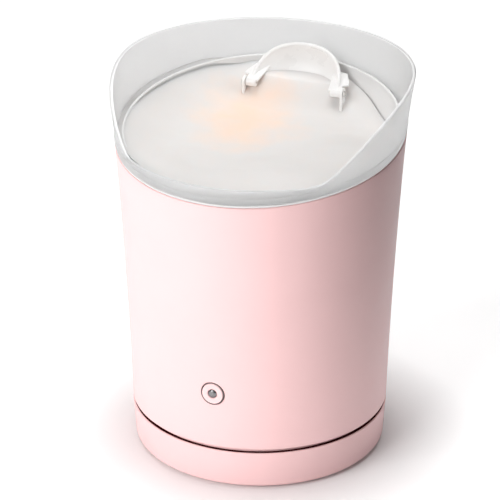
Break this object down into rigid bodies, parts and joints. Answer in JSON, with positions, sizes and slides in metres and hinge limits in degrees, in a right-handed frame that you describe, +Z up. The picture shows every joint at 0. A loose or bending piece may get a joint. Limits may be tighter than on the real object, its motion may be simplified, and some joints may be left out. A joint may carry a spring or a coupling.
{
  "type": "paraffin wax bath",
  "caption": "Tall round heated wax bath with a slanted frosted splash collar, a push button and a lift-out hand guard with a folding grip hood.",
  "frame": {"origin": "centre of the base, on the plane that the feet rest on", "axes": "+Z up; the front, with the power button and the low lip of the collar, faces -Y; +X is to the right seen from the front"},
  "size_m": [0.1936, 0.1899, 0.2555],
  "materials": {
    "pink_plastic": "satin",
    "white_plastic": "satin",
    "frosted_plastic": "frosted",
    "button_plastic": "satin",
    "dark_ring": "satin",
    "black_plastic": "matte",
    "blue_plastic": "matte",
    "green_plastic": "matte",
    "circuit_board": "satin",
    "rubber": "matte",
    "silicone": "matte",
    "steel": "zinc plated",
    "stainless": "brushed",
    "aluminium": "drawn",
    "brass": "plated",
    "mica": "matte",
    "felt": "matte",
    "lead_insulation": "matte"
  },
  "bodies": {
    "root": {"outer_casing": "pink_plastic", "base_housing": "pink_plastic", "tank_surround": "white_plastic", "switch_housing": "white_plastic", "button_bezel": "dark_ring", "power_inlet": "black_plastic", "thermostat": "black_plastic", "power_supply": "black_plastic", "filter_capacitor": "black_plastic", "tact_switch": "black_plastic", "relay": "blue_plastic", "lead_terminals": "green_plastic", "control_board": "circuit_board", "switch_board": "circuit_board", "rubber_foot_1": "rubber", "rubber_foot_2": "rubber", "rubber_foot_3": "rubber", "rubber_foot_4": "rubber", "collar_seal": "silicone", "tank_seal": "silicone", "case_screw_1": "steel", "case_screw_2": "steel", "case_screw_3": "steel", "case_screw_4": "steel", "flange_screw_1": "steel", "flange_screw_2": "steel", "flange_screw_3": "steel", "shield_screw_1": "steel", "shield_screw_2": "steel", "shield_screw_3": "steel", "board_screw_1": "steel", "board_screw_2": "steel", "switch_screw_1": "steel", "switch_screw_2": "steel", "clamp_bolt": "steel", "clamp_nut": "steel", "fuse_clip": "steel", "thermal_fuse": "steel", "button_spring": "steel", "wax_tank": "aluminium", "heat_shield": "aluminium", "left_inlet_pin": "brass", "right_inlet_pin": "brass", "band_heater": "mica", "insulation_sleeve": "felt", "inlet_lead": "lead_insulation", "heater_lead": "lead_insulation", "sensor_lead": "lead_insulation", "switch_lead": "lead_insulation"},
    "power_button": {"button_cap": "button_plastic", "button_dome": "steel"},
    "splash_collar": {"splash_collar": "frosted_plastic"},
    "hand_guard": {"guard_grille": "stainless", "left_upright": "frosted_plastic", "right_upright": "frosted_plastic", "guard_rivet_1": "stainless", "guard_rivet_2": "stainless", "hinge_pin_1": "stainless", "hinge_pin_2": "stainless"},
    "grip_hood": {"grip_hood": "frosted_plastic"}
  },
  "joints": [
    {"name": "power_button_press", "type": "slide", "parent": "root", "child": "power_button", "axis": [0, 1, 0], "range_m": [0, 0.0012], "stiffness_N_per_m": 500, "springref_m": -0.001, "deforming": ["button_spring"]},
    {"name": "collar_lift", "type": "slide", "parent": "root", "child": "splash_collar", "axis": [0, 0, 1], "range_m": [0, 0.08]},
    {"name": "guard_lift", "type": "slide", "parent": "root", "child": "hand_guard", "axis": [0, 0, 1], "range_m": [0, 0.26]},
    {"name": "hood_fold", "type": "hinge", "parent": "hand_guard", "child": "grip_hood", "pos_m": [0, 0.062, 0.2205], "axis": [1, 0, 0], "range_deg": [0, 130]}
  ]
}
